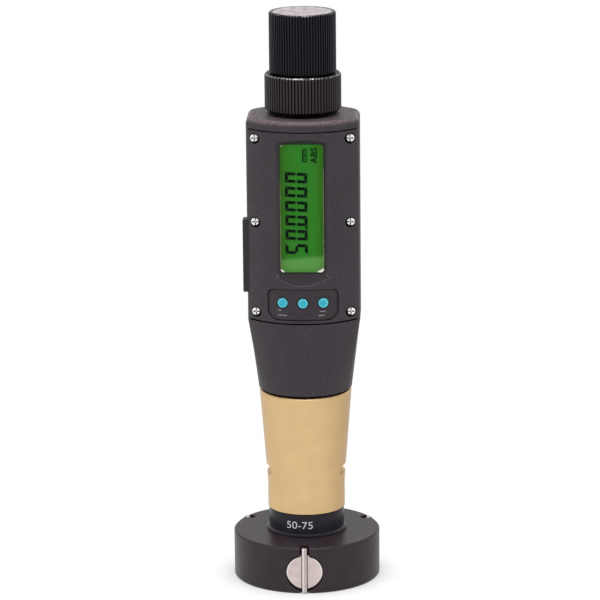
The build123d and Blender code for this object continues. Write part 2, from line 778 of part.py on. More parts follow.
# Press buttons, each with a flange behind the cover and a stem to its switch
stem_end = board_front + key_switch_height + button_travel + running_gap
for name, place in (("left", -1), ("middle", 0), ("right", 1)):
    with BuildPart() as button:
        x = place * button_spacing
        face = front_depth(x, button_panel_depth) + button_proud
        flange_front = button_back - running_gap
        rod((x, -flange_front, button_height), (0, -1, 0), button_radius, face - flange_front)
        fillet(button.faces().sort_by(Axis.Y)[0].edges(), button_edge)
        flange_back = (x, -flange_front + flange_thickness, button_height)
        rod(flange_back, (0, -1, 0), flange_of_button, flange_thickness)
        rod((x, -stem_end, button_height), (0, -1, 0), button_stem_radius, flange_front - stem_end)
    button.part.label = f"button_{name}"
    export_step(button.part, f"parts/button_{name}.step")

# Battery tray with its coin cell, drawn out to the left
cell_x = -tray_bar_inner + tray_rail + cell_radius
with BuildPart() as battery_tray:
    block(
        (-tray_bar_inner, cell_x + cell_radius + tray_rail),
        (-tray_front, -tray_back),
        (tray_middle - tray_half, tray_middle + tray_half),
    )
    fillet(battery_tray.edges().filter_by(Axis.Y).group_by(Axis.X)[-1], tray_rail)
    block(
        (-tray_bar_outer, -tray_bar_inner),
        (-tray_front, -tray_back),
        (tray_middle - tray_bar_height / 2, tray_middle + tray_bar_height / 2),
    )
    fillet(battery_tray.edges().group_by(Axis.X)[0], tray_bar_round)
    cell_seat = (cell_x, -tray_back - tray_floor, tray_middle)
    rod(cell_seat, (0, -1, 0), cell_radius + part_gap, tray_thickness, Mode.SUBTRACT)
battery_tray.part.label = "battery_tray"
export_step(battery_tray.part, "parts/battery_tray.step")

with BuildPart() as coin_cell:
    rod(cell_seat, (0, -1, 0), cell_radius, cell_thickness)
    fillet(coin_cell.edges().filter_by(GeomType.CIRCLE).group_by(Axis.Y)[-1], cell_round)
coin_cell.part.label = "coin_cell"
export_step(coin_cell.part, "parts/coin_cell.step")

with BuildPart() as battery_contacts:
    for row in (-1, 1):
        pad_start = (-cell_radius / 2, -cover_plane, tray_middle + row * contact_pad_spacing / 2)
        pad_length = cover_plane - tray_front - 2 * running_gap
        rod(pad_start, (0, 1, 0), contact_pad_radius, pad_length)
battery_contacts.part.label = "battery_contacts"
export_step(battery_contacts.part, "parts/battery_contacts.step")

# Bearing of the thimble, pressed into the top of the housing
with BuildPart() as thimble_bearing:
    turn(
        [
            (hub_bore_radius, bearing_foot),
            (bearing_radius, bearing_foot),
            (bearing_radius, housing_top),
            (hub_bore_radius, housing_top),
        ]
    )
thimble_bearing.part.label = "thimble_bearing"
export_step(thimble_bearing.part, "parts/thimble_bearing.step")

# Encoder: a fixed reading plate above the coded disc on the drive screw
with BuildPart() as encoder_stator:
    turn(
        [
            (stator_bore_radius, stator_foot),
            (chamber_radius - fit_gap, stator_foot),
            (chamber_radius - fit_gap, stator_foot + disc_thickness),
            (stator_bore_radius, stator_foot + disc_thickness),
        ]
    )
encoder_stator.part.label = "encoder_stator"
export_step(encoder_stator.part, "parts/encoder_stator.step")

with BuildPart() as encoder_disc:
    turn(
        [
            (spindle_radius + fit_gap, rotor_foot),
            (disc_radius, rotor_foot),
            (disc_radius, rotor_foot + disc_thickness),
            (spindle_radius + fit_gap, rotor_foot + disc_thickness),
        ]
    )
encoder_disc.part.label = "encoder_disc"
export_step(encoder_disc.part, "parts/encoder_disc.step")

# Thimble ring with its straight knurl, on a hub that runs in the bearing
hub_foot = bearing_foot - running_gap
with BuildPart() as thimble_ring:
    extrude(ribbed(ring_radius, ring_ribs, ring_foot), amount=ring_height)
    bevel_end(ring_radius, ring_foot, ring_foot_edge, 1)
    bevel_end(ring_radius, ring_top, ring_edge, -1)
    turn(
        [
            (0, thimble_nut_foot),
            (thread_radius, thimble_nut_foot),
            (thread_radius, hub_foot),
            (hub_bore_radius - running_gap, hub_foot),
            (hub_bore_radius - running_gap, ring_foot),
            (0, ring_foot),
        ]
    )
    drive_bore = ring_top - thimble_nut_foot
    rod((0, 0, thimble_nut_foot), (0, 0, 1), drive_radius + fit_gap, drive_bore, Mode.SUBTRACT)
thimble_ring.part.label = "thimble_ring"
export_step(thimble_ring.part, "parts/thimble_ring.step")

with BuildPart() as thimble_nut:
    turn(
        [
            (thread_radius + fit_gap, thimble_nut_foot),
            (thimble_nut_radius, thimble_nut_foot),
            (thimble_nut_radius, hub_foot),
            (thread_radius + fit_gap, hub_foot),
        ]
    )
thimble_nut.part.label = "thimble_nut"
export_step(thimble_nut.part, "parts/thimble_nut.step")

# Drive screw: it turns with the thimble and feeds the spindle, its stud carries the knob
web_foot = knob_foot + knob_web_place
web_top = web_foot + knob_web
stud_top = web_top + part_gap
knob_screw_foot = web_foot - knob_web / 2
with BuildPart() as drive_screw:
    turn(
        [
            (0, drive_foot),
            (spindle_radius, drive_foot),
            (spindle_radius, thimble_nut_foot),
            (drive_radius, thimble_nut_foot),
            (drive_radius, ring_top),
            (knob_stud_radius, ring_top),
            (knob_stud_radius, stud_top),
            (knob_screw_shank + fit_gap, stud_top),
            (knob_screw_shank + fit_gap, knob_screw_foot - part_gap),
            (0, knob_screw_foot - part_gap),
        ]
    )
drive_screw.part.label = "drive_screw"
export_step(drive_screw.part, "parts/drive_screw.step")

# Ratchet: a toothed wheel on the thimble and a toothed plate in the knob
wheel_top = ring_top + ratchet_thickness
plate_foot = wheel_top + part_gap
plate_top = plate_foot + ratchet_thickness


def ratchet_notches(level, up):
    """V notches across a ring face, which leave the radial teeth of the ratchet."""
    pitch = 2 * math.pi * ratchet_radius / ratchet_teeth
    for tooth in range(ratchet_teeth):
        outward = Vector(1, 0, 0).rotate(Axis.Z, math.degrees(math.tau) * tooth / ratchet_teeth)
        notch_start = outward * (knob_cavity_radius + part_gap) + Vector(0, 0, level)
        with BuildSketch(Plane(notch_start, x_dir=(0, 0, up), z_dir=-outward)) as notch:
            with BuildLine():
                Polyline((-tooth_depth, 0), (tooth_depth, pitch / 2), (tooth_depth, -tooth_land), close=True)
            make_face()
        extrude(notch.sketch, amount=knob_cavity_radius, mode=Mode.SUBTRACT)


with BuildPart() as ratchet_wheel:
    turn(
        [
            (knob_stud_radius + fit_gap, ring_top),
            (ratchet_radius, ring_top),
            (ratchet_radius, wheel_top),
            (knob_stud_radius + fit_gap, wheel_top),
        ]
    )
    ratchet_notches(wheel_top, 1)
ratchet_wheel.part.label = "ratchet_wheel"
export_step(ratchet_wheel.part, "parts/ratchet_wheel.step")

with BuildPart() as ratchet_plate:
    turn(
        [
            (knob_stud_radius + running_gap, plate_foot),
            (knob_cavity_radius - fit_gap, plate_foot),
            (knob_cavity_radius - fit_gap, plate_top),
            (knob_stud_radius + running_gap, plate_top),
        ]
    )
    ratchet_notches(plate_foot, -1)
ratchet_plate.part.label = "ratchet_plate"
export_step(ratchet_plate.part, "parts/ratchet_plate.step")

# Cup spring that presses the ratchet plate down
cup_rise = web_foot - plate_top - 2 * running_gap
with BuildPart() as ratchet_spring:
    turn(
        [
            (knob_stud_radius + part_gap, web_foot - running_gap),
            (knob_cavity_radius - part_gap, web_foot - running_gap - cup_rise + cup_thickness),
            (knob_cavity_radius - part_gap, plate_top + running_gap),
            (knob_stud_radius + part_gap, web_foot - running_gap - cup_thickness),
        ]
    )
ratchet_spring.part.label = "ratchet_spring"
export_step(ratchet_spring.part, "parts/ratchet_spring.step")

# Ratchet knob with its straight knurl, web and top recess
cap_foot = knob_top - cap_thickness
with BuildPart() as ratchet_knob:
    extrude(ribbed(knob_radius, knob_ribs, knob_foot), amount=knob_height)
    bevel_end(knob_radius, knob_foot, knob_edge, 1)
    bevel_end(knob_radius, knob_top, knob_edge, -1)
    turn(
        [
            (0, knob_foot),
            (knob_cavity_radius, knob_foot),
            (knob_cavity_radius, web_foot),
            (knob_stud_radius + running_gap, web_foot),
            (knob_stud_radius + running_gap, web_top),
            (knob_cavity_radius, web_top),
            (knob_cavity_radius, cap_foot),
            (cap_radius + fit_gap, cap_foot),
            (cap_radius + fit_gap, knob_top),
            (0, knob_top),
        ],
        Mode.SUBTRACT,
    )
ratchet_knob.part.label = "ratchet_knob"
export_step(ratchet_knob.part, "parts/ratchet_knob.step")

with BuildPart() as knob_screw:
    turn(
        [
            (0, knob_screw_foot),
            (knob_screw_shank, knob_screw_foot),
            (knob_screw_shank, stud_top),
            (knob_screw_radius, stud_top),
            (knob_screw_radius, stud_top + knob_screw_head),
            (0, stud_top + knob_screw_head),
        ]
    )
    screw_slot_z = (stud_top + knob_screw_head / 2, stud_top + 2 * knob_screw_head)
    screw_slot_y = (-knob_screw_slot / 2, knob_screw_slot / 2)
    block((-knob_screw_radius, knob_screw_radius), screw_slot_y, screw_slot_z, Mode.SUBTRACT)
knob_screw.part.label = "knob_screw"
export_step(knob_screw.part, "parts/knob_screw.step")

with BuildPart() as knob_cap:
    with Locations((0, 0, cap_foot)):
        Cylinder(cap_radius, cap_thickness, align=(Align.CENTER, Align.CENTER, Align.MIN))
    chamfer(knob_cap.edges().group_by(Axis.Z)[-1], cap_edge)
knob_cap.part.label = "knob_cap"
export_step(knob_cap.part, "parts/knob_cap.step")
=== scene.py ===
import math

import bpy
from mathutils import Matrix, Vector


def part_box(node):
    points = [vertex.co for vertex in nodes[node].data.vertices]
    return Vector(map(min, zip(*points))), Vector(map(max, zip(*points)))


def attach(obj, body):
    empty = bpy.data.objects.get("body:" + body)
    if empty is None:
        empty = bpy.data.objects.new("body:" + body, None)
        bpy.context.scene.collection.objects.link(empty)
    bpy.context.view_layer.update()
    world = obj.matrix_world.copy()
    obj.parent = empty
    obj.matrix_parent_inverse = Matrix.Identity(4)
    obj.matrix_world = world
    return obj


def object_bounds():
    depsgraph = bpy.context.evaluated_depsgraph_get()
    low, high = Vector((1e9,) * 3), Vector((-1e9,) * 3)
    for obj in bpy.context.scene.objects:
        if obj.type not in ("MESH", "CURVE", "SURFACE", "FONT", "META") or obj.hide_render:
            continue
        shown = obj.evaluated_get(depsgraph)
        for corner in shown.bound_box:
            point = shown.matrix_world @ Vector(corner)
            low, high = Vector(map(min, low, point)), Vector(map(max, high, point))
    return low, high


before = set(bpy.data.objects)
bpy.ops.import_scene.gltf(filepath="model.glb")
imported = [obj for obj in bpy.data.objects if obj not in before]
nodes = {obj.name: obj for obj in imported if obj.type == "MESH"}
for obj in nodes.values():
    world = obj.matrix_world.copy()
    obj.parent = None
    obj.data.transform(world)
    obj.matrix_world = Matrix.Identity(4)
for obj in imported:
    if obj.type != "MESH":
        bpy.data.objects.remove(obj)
cad_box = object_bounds()
MM = 0.001

# Places on the housing and its front cover
housing_low, housing_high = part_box("housing")
bow_radius = 23.0 * MM
bow_centre = housing_low.y + bow_radius

# Places of the buttons and of the recessed panel round them
button_low, button_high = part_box("button_middle")
button_level = (button_low.z + button_high.z) / 2
button_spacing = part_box("button_right")[0].x - button_low.x
key_panel_depth = 0.5 * MM
key_panel_side = 10.25 * MM
key_panel_foot = button_level - 4.7 * MM
key_panel_head = button_level + 4.35 * MM
key_wall_side = 11.8 * MM
key_wall_foot = button_level - 5.5 * MM
key_wall_head = button_level + 3.45 * MM
button_rim = 1.275 * MM
display_end = button_level + 5.15 * MM
screw_border = 12.9 * MM

# Places of the display and of the opening in front of it
panel_low, panel_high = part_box("lcd_panel")
opening_overlap = 0.4 * MM
opening_left = -7.45 * MM
opening_right = 7.45 * MM
opening_foot = panel_low.z + opening_overlap
opening_head = panel_high.z - opening_overlap

# Places on the anvils and their contact pins
anvil_level = 7.2 * MM
anvil_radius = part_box("anvil_front")[1].x
anvil_face_radius = anvil_radius - 0.44 * MM
pin_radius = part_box("contact_pin_front")[1].x
anvil_directions = {
    "front": math.radians(-90),
    "right_rear": math.radians(30),
    "left_rear": math.radians(150),
}


def srgb(red, green, blue):
    """Linear colour of an 8-bit display colour."""
    channels = []
    for value in (red / 255, green / 255, blue / 255):
        channels.append(value / 12.92 if value <= 0.04045 else ((value + 0.055) / 1.055) ** 2.4)
    return (*channels, 1.0)


def shade(colour, factor):
    """A colour made darker or lighter by a factor."""
    return tuple(channel * factor for channel in colour[:3]) + (1.0,)


def plain(level):
    """A grey, as a factor for another colour."""
    return (level, level, level, 1.0)


def maths_node(tree, operation, *values):
    """Result of a math node whose inputs are numbers or the outputs of other nodes."""
    made = tree.nodes.new("ShaderNodeMath")
    made.operation = operation
    for socket, value in zip(made.inputs, values):
        if isinstance(value, (int, float)):
            socket.default_value = value
        else:
            tree.links.new(value, socket)
    return made.outputs[0]


class Finish:
    """A procedural material around one Principled BSDF, textured in object coordinates."""

    socket_names = {
        "metallic": "Metallic",
        "roughness": "Roughness",
        "specular": "Specular IOR Level",
        "glow": "Emission Strength",
    }

    def __init__(self, name, **sockets):
        self.material = bpy.data.materials.new(name)
        self.material.use_nodes = True
        self.tree = self.material.node_tree
        self.shader = self.tree.nodes["Principled BSDF"]
        self.position = self.node("ShaderNodeTexCoord").outputs["Object"]
        for key, value in sockets.items():
            self.shader.inputs[self.socket_names[key]].default_value = value

    def node(self, kind, **settings):
        made = self.tree.nodes.new(kind)
        for key, value in settings.items():
            setattr(made, key, value)
        return made

    def link(self, output, target):
        self.tree.links.new(output, target)

    def maths(self, operation, *values):
        return maths_node(self.tree, operation, *values)

    def product(self, first, second, third):
        """Three factors multiplied together."""
        return self.maths("MULTIPLY", self.maths("MULTIPLY", first, second), third)

    def distance(self, along, across):
        """Length of a line from its extents along two axes."""
        squares = self.maths("MULTIPLY", along, along), self.maths("MULTIPLY", across, across)
        return self.maths("SQRT", self.maths("ADD", *squares))

    def grain(self, size, detail, stretch=(1, 1, 1)):
        """Noise whose grains are about size metres across, drawn out along each axis by stretch."""
        mapping = self.node("ShaderNodeMapping")
        mapping.inputs["Scale"].default_value = [1 / (size * s) for s in stretch]
        noise = self.node("ShaderNodeTexNoise")
        noise.inputs["Scale"].default_value = 1.0
        noise.inputs["Detail"].default_value = detail
        self.link(self.position, mapping.inputs["Vector"])
        self.link(mapping.outputs["Vector"], noise.inputs["Vector"])
        return noise.outputs["Fac"]

    def axes(self):
        """The position's X, Y and Z outputs."""
        made = self.node("ShaderNodeSeparateXYZ")
        self.link(self.position, made.inputs[0])
        return made.outputs

    def axis_distance(self):
        """Distance from the instrument's upright axis."""
        x, y, _ = self.axes()
        return self.distance(x, y)

    def ramp(self, factor, *stops):
        """Colours at places along a factor."""
        made = self.node("ShaderNodeValToRGB")
        ends = made.color_ramp.elements
        while len(ends) < len(stops):
            ends.new(0.5)
        for element, (place, colour) in zip(ends, stops):
            element.position = place
            element.color = colour
        self.link(factor, made.inputs["Fac"])
        return made.outputs["Color"]

    def shades(self, factor, colour, darker, lighter, low=0.3, high=0.7):
        """Two shades of a colour, where a grain is low and where it is high."""
        return self.ramp(factor, (low, shade(colour, darker)), (high, shade(colour, lighter)))

    def span(self, factor, low, high, first=0.0, last=1.0):
        """A factor between low and high, mapped to first and last and held beyond them."""
        made = self.node("ShaderNodeMapRange")
        self.link(factor, made.inputs["Value"])
        for key, value in (("From Min", low), ("From Max", high), ("To Min", first), ("To Max", last)):
            made.inputs[key].default_value = value
        return made.outputs["Result"]

    def rise(self, factor, place, width):
        """0 before a place and 1 after it, with a soft step of a width."""
        return self.span(factor, place - width / 2, place + width / 2)

    def fall(self, factor, place, width):
        """1 before a place and 0 after it, with a soft step of a width."""
        return self.span(factor, place - width / 2, place + width / 2, 1.0, 0.0)

    def blend(self, factor, first, second):
        """From the first colour at factor 0 to the second at factor 1."""
        made = self.node("ShaderNodeMix", data_type="RGBA")
        if isinstance(factor, float):
            made.inputs["Factor"].default_value = factor
        else:
            self.link(factor, made.inputs["Factor"])
        for socket, value in ((made.inputs["A"], first), (made.inputs["B"], second)):
            if isinstance(value, tuple):
                socket.default_value = value
            else:
                self.link(value, socket)
        return made.outputs["Result"]

    def multiply(self, colour, factor):
        """A colour multiplied by a factor or by another colour."""
        made = self.node("ShaderNodeMix", data_type="RGBA", blend_type="MULTIPLY")
        made.inputs["Factor"].default_value = 1.0
        self.link(colour, made.inputs["A"])
        self.link(factor, made.inputs["B"])
        return made.outputs["Result"]

    def openness(self, distance, closed, open_level, darkest=0.0):
        """A factor for painted shade: 1 on open surfaces, falling to darkest in seams and recesses
        narrower than a distance.
        """
        made = self.node("ShaderNodeAmbientOcclusion")
        made.inputs["Distance"].default_value = distance
        return self.span(made.outputs["AO"], closed, open_level, darkest, 1.0)

    def colour(self, output):
        self.link(output, self.shader.inputs["Base Color"])

    def roughen(self, factor, low, high):
        """Roughness from low to high, where a grain is low and where it is high."""
        self.link(self.span(factor, 0.3, 0.7, low, high), self.shader.inputs["Roughness"])

    def relief(self, factor, depth):
        """Raise the surface by depth metres where the factor is 1."""
        bump = self.node("ShaderNodeBump")
        bump.inputs["Strength"].default_value = 1.0
        bump.inputs["Distance"].default_value = depth
        self.link(factor, bump.inputs["Height"])
        self.link(bump.outputs["Normal"], self.shader.inputs["Normal"])


def dress(finish, *names):
    """Put a finish on every slot of some nodes."""
    for name in names:
        for slot in nodes[name].material_slots:
            slot.material = finish.material


# Powder coat of the housing and of its front cover
charcoal = srgb(60, 54, 60)
# Painted highlight along the housing's top rim: its colour and how far down it reaches
highlight_charcoal = srgb(150, 132, 134)
highlight_depth = 1.15 * MM


def powder_paint(finish):
    """Colour of the powder coat: coarse specks over slow changes of tone."""
    specks = finish.shades(finish.grain(0.8 * MM, 3), charcoal, 0.7, 1.36, 0.36, 0.64)
    slow = finish.shades(finish.grain(9 * MM, 2), charcoal, 0.88, 1.12)
    return finish.blend(0.55, specks, slow)


def painted_seam_shade(finish):
    """1 on open surfaces and 0 in the seams of the casting: painted shade in the seams."""
    return finish.openness(1.3 * MM, 0.45, 0.88)


def powder_coat(finish, paint, seam_shade):
    """Lay a paint on a casting, with painted shade that makes it black and dull in its seams, and a fine
    relief.
    """
    finish.colour(finish.multiply(paint, seam_shade))
    open_specular = 0.25
    finish.link(finish.maths("MULTIPLY", seam_shade, open_specular), finish.shader.inputs["Specular IOR Level"])
    fine = finish.grain(0.34 * MM, 3)
    finish.roughen(fine, 0.34, 0.56)
    finish.relief(fine, 0.045 * MM)


def housing_coat(name):
    """Powder coat with a painted highlight, pale and speckled, along the rim at the top of the housing."""
    finish = Finish(name)
    level = finish.axes()[2]
    top = housing_high.z
    rim = finish.rise(level, top - highlight_depth, 1.1 * MM)
    lip = finish.span(level, top - 0.3 * MM, top - 0.02 * MM, 0.75, 0.35)
    speckle = finish.ramp(finish.grain(0.5 * MM, 3), (0.4, plain(0.25)), (0.62, plain(1.0)))
    # Painted highlight: strongest just below the top edge, and speckled
    painted_highlight = finish.product(rim, lip, speckle)
    paint = finish.blend(painted_highlight, powder_paint(finish), highlight_charcoal)
    powder_coat(finish, paint, painted_seam_shade(finish))
    return finish


def bow_depth(finish):
    """Depth under the bowed front of the cover."""
    x, y, _ = finish.axes()
    forward = finish.maths("SUBTRACT", y, bow_centre)
    return finish.maths("SUBTRACT", bow_radius, finish.distance(x, forward))


def bevel_shading(finish, share, side):
    """Painted light and shade on the display's bevels: a painted highlight on the lip, then painted shade,
    less dark beside the display.
    """
    ends = finish.ramp(
        share,
        (0.004, plain(1.0)),
        (0.012, plain(1.5)),
        (0.07, plain(1.3)),
        (0.11, plain(0.66)),
        (0.9, plain(0.58)),
    )
    beside = finish.rise(side, opening_right + 0.2 * MM, 0.8 * MM)
    return finish.blend(beside, ends, finish.blend(0.6, ends, plain(0.95)))


def key_panel_shading(finish, share, z):
    """Painted light and shade on the button panel: painted shade on its upper wall, its other walls
    painted a little pale.
    """
    wall = finish.ramp(
        share,
        (0.01, plain(1.0)),
        (0.04, plain(1.6)),
        (0.14, plain(1.6)),
        (0.16, plain(0.88)),
    )
    upper = finish.ramp(
        share,
        (0.01, plain(1.0)),
        (0.04, plain(0.5)),
        (0.14, plain(0.5)),
        (0.16, plain(0.86)),
    )
    return finish.blend(finish.rise(z, key_panel_head, 0.3 * MM), wall, upper)


def bevel_ridge_glint(finish, side, z):
    """1 on the ridges where the bevels at the display's lower corners meet; a glint is painted there."""
    outward = finish.maths("SUBTRACT", side, opening_right)
    downward = finish.maths("SUBTRACT", opening_foot, z)
    off_ridge = finish.maths("ABSOLUTE", finish.maths("SUBTRACT", outward, downward))
    return finish.product(
        finish.fall(off_ridge, 0.26 * MM, 0.28 * MM),
        finish.rise(outward, 0.25 * MM, 0.3 * MM),
        finish.fall(outward, 1.6 * MM, 0.4 * MM),
    )


def cover_shading(finish):
    """Painted light and shade on the front cover by depth under its bow, none beside the screws."""
    x, _, z = finish.axes()
    side = finish.maths("ABSOLUTE", x)
    deepest = 3 * MM
    share = finish.span(bow_depth(finish), 0.0, deepest)
    above_keys = finish.rise(z, display_end, 0.1 * MM)
    recess_shading = finish.blend(above_keys, key_panel_shading(finish, share, z), bevel_shading(finish, share, side))
    # Painted glint on the ridges of the bevels at the display's lower corners
    recess_shading = finish.blend(bevel_ridge_glint(finish, side, z), recess_shading, plain(1.9))
    return finish.blend(finish.rise(side, screw_border, 0.2 * MM), recess_shading, plain(1.0))


def key_panel_rim(finish):
    """1 at the sides and foot of the button panel, whose low walls cast no dark seam."""
    x, _, z = finish.axes()
    side = finish.maths("ABSOLUTE", x)
    rim = finish.maths(
        "MAXIMUM",
        finish.rise(side, key_panel_side, 0.5 * MM),
        finish.fall(z, key_panel_foot, 0.4 * MM),
    )
    heights = finish.maths(
        "MULTIPLY",
        finish.rise(z, key_wall_foot, 0.2 * MM),
        finish.fall(z, key_wall_head, 0.5 * MM),
    )
    return finish.product(rim, finish.fall(side, key_wall_side, 0.4 * MM), heights)


def cover_coat(name):
    """Powder coat of the front cover, with painted light and shade in its recesses and painted shade in
    its seams.
    """
    finish = Finish(name)
    paint = finish.multiply(powder_paint(finish), cover_shading(finish))
    powder_coat(finish, paint, finish.maths("MAXIMUM", painted_seam_shade(finish), key_panel_rim(finish)))
    return finish


dress(housing_coat("charcoal_powder_coat"), "housing")
dress(cover_coat("charcoal_cover_coat"), "front_cover")


# Metals, dyed metals and plastics
def turned_metal(name, colour, roughness):
    """Turned metal: fine rings about the instrument's axis and a faint change of tone."""
    finish = Finish(name, metallic=1.0, specular=0.5)
    rings = finish.grain(0.05 * MM, 2, (60, 60, 1))
    finish.colour(finish.shades(finish.grain(7 * MM, 2), colour, 0.96, 1.03))
    finish.roughen(rings, roughness - 0.05, roughness + 0.07)
    finish.relief(rings, 0.002 * MM)
    return finish


def ground_metal(name, colour, roughness, shade_reach=0.0):
    """Ground or machined metal with a fine even grain, with painted shade in recesses narrower than the
    given reach.
    """
    finish = Finish(name, metallic=1.0)
    fine = finish.grain(0.12 * MM, 3)
    specks = finish.shades(fine, colour, 0.92, 1.06)
    slow = finish.shades(finish.grain(2.5 * MM, 1), colour, 0.9, 1.05, 0.35, 0.65)
    metal = finish.blend(0.5, specks, slow)
    # Painted shade in recesses, such as the cross in a screw head
    if shade_reach:
        metal = finish.multiply(metal, finish.openness(shade_reach, 0.3, 0.85, 0.05))
    finish.colour(metal)
    finish.roughen(fine, roughness - 0.06, roughness + 0.08)
    finish.relief(fine, 0.0015 * MM)
    return finish


def black_anodised(name, colour, roughness, specular):
    """Dyed anodised aluminium: dark, satin, with a very fine grain."""
    finish = Finish(name, specular=specular)
    fine = finish.grain(0.1 * MM, 3)
    finish.colour(finish.shades(finish.grain(6 * MM, 2), colour, 0.88, 1.14))
    finish.roughen(fine, roughness - 0.05, roughness + 0.08)
    finish.relief(fine, 0.002 * MM)
    return finish


def moulded(name, colour, roughness):
    """Moulded plastic with a slight grain."""
    finish = Finish(name, specular=0.4)
    fine = finish.grain(0.2 * MM, 2)
    finish.colour(finish.shades(fine, colour, 0.93, 1.07))
    finish.roughen(fine, roughness - 0.05, roughness + 0.08)
    finish.relief(fine, 0.004 * MM)
    return finish


head_black = black_anodised("satin_black_anodised", srgb(53, 44, 50), 0.32, 0.22)
collar_black = black_anodised("gloss_black_anodised", srgb(38, 35, 42), 0.24, 0.2)
gold = turned_metal("gold_anodised", srgb(224, 190, 140), 0.34)
bright_steel = ground_metal("bright_screw_steel", srgb(246, 244, 246), 0.2, shade_reach=0.9 * MM)
tray_black = moulded("black_tray_plastic", srgb(34, 30, 34), 0.42)
dress(head_black, "head_disc", "head_cover")
dress(collar_black, "range_collar")
dress(gold, "sleeve")
dress(bright_steel, "front_cover_screws", "head_cover_screws")
dress(tray_black, "battery_tray")


# Anvils and contact pins
def across_anvil(finish, angle):
    """Distance sideways from the axis of the anvil that faces an angle, and height above it."""
    x, y, z = finish.axes()
    aside = finish.maths(
        "ADD",
        finish.maths("MULTIPLY", x, -math.sin(angle)),
        finish.maths("MULTIPLY", y, math.cos(angle)),
    )
    return aside, finish.maths("SUBTRACT", z, anvil_level)


def anvil_steel(name, angle):
    """Ground steel, with a painted highlight on the chamfer round the face and painted shade in its
    recesses.
    """
    finish = Finish(name, metallic=1.0)
    off_axis = finish.distance(*across_anvil(finish, angle))
    # Painted highlight on the chamfer round the face
    chamfer = finish.rise(off_axis, anvil_face_radius, 0.12 * MM)
    fine = finish.grain(0.12 * MM, 3)
    specks = finish.ramp(fine, (0.3, srgb(196, 180, 177)), (0.7, srgb(222, 206, 203)))
    slow = finish.ramp(finish.grain(3 * MM, 1), (0.35, srgb(198, 182, 180)), (0.65, srgb(222, 207, 203)))
    metal = finish.blend(chamfer, finish.blend(0.5, specks, slow), srgb(244, 236, 232))
    # Painted shade in the recesses round the pin
    finish.colour(finish.multiply(metal, finish.openness(0.5 * MM, 0.3, 0.85, 0.05)))
    finish.roughen(fine, 0.24, 0.38)
    finish.relief(fine, 0.0015 * MM)
    return finish


def pin_carbide(name, angle):
    """Ground hard metal with fine grinding streaks along it, and painted light and shade in bands across
    the pin, dark at its edges where it meets its groove.
    """
    finish = Finish(name, metallic=1.0, roughness=0.22)
    aside, _ = across_anvil(finish, angle)
    # Painted bands of light and shade across the pin
    painted_pin_shading = finish.ramp(
        finish.span(aside, -pin_radius, pin_radius),
        (0.04, srgb(92, 82, 82)),
        (0.16, srgb(208, 196, 194)),
        (0.36, srgb(240, 232, 230)),
        (0.58, srgb(176, 160, 158)),
        (0.78, srgb(214, 202, 199)),
        (0.96, srgb(100, 89, 88)),
    )
    fine = finish.grain(0.1 * MM, 2, (1, 1, 12))
    finish.colour(finish.multiply(painted_pin_shading, finish.ramp(fine, (0.3, plain(0.9)), (0.7, plain(1.0)))))
    finish.relief(fine, 0.001 * MM)
    return finish


for side_name, direction in anvil_directions.items():
    dress(anvil_steel(f"anvil_steel_{side_name}", direction), f"anvil_{side_name}")
    dress(pin_carbide(f"pin_carbide_{side_name}", direction), f"contact_pin_{side_name}")


# Buttons
def button_cyan(name):
    """Moulded cyan, with a painted highlight on the rounded rim of each button."""
    finish = Finish(name, roughness=0.4, specular=0.35)
    x, _, z = finish.axes()
    half = button_spacing / 2
    shifted = finish.maths("FLOORED_MODULO", finish.maths("ADD", x, half), button_spacing)
    along = finish.maths("SUBTRACT", shifted, half)
    up = finish.maths("SUBTRACT", z, button_level)
    rim = finish.rise(finish.distance(along, up), button_rim, 0.25 * MM)
    fine = finish.grain(0.25 * MM, 2)
    middle = finish.ramp(fine, (0.3, srgb(48, 178, 198)), (0.7, srgb(58, 192, 212)))
    # Painted highlight on the rounded rim of each button
    finish.colour(finish.blend(rim, middle, srgb(112, 214, 230)))
    finish.relief(fine, 0.004 * MM)
    return finish


dress(button_cyan("cyan_button_plastic"), "button_left", "button_middle", "button_right")


# Ribbed ring and knob, and the cap in the knob
def ribbed_black(name, ring, colour, crest_highlight, chamfer, face_radius=0.0):
    """Dyed ribs with painted shade in their grooves and a painted highlight on their crests; their upper
    chamfers and inner face were cut after dyeing.
    """
    finish = Finish(name, roughness=0.34, specular=0.08)
    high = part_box(ring)[1]
    outer = high.x
    radius = finish.axis_distance()
    level = finish.axes()[2]
    rib = finish.span(radius, outer - 0.4 * MM, outer - 0.03 * MM)
    # Painted shade in the grooves and painted highlight on the crests
    rib_shading = finish.ramp(
        rib,
        (0.0, shade(colour, 0.1)),
        (0.6, shade(colour, 0.5)),
        (1.0, shade(colour, crest_highlight)),
    )
    cut = finish.maths(
        "MULTIPLY",
        finish.rise(level, high.z - chamfer + 0.02 * MM, 0.04 * MM),
        finish.rise(radius, outer - chamfer + 0.01 * MM, 0.06 * MM),
    )
    if face_radius:
        face = finish.maths(
            "MULTIPLY",
            finish.rise(level, high.z - 0.02 * MM, 0.02 * MM),
            finish.fall(radius, face_radius, 0.05 * MM),
        )
        cut = finish.maths("MAXIMUM", cut, face)
    machined = finish.shades(finish.grain(0.7 * MM, 2), srgb(190, 182, 185), 0.1, 1.0, 0.44, 0.62)
    finish.colour(finish.blend(cut, rib_shading, machined))
    finish.link(finish.span(cut, 0.0, 1.0, 0.0, 0.9), finish.shader.inputs["Metallic"])
    finish.relief(finish.grain(0.08 * MM, 3), 0.002 * MM)
    return finish


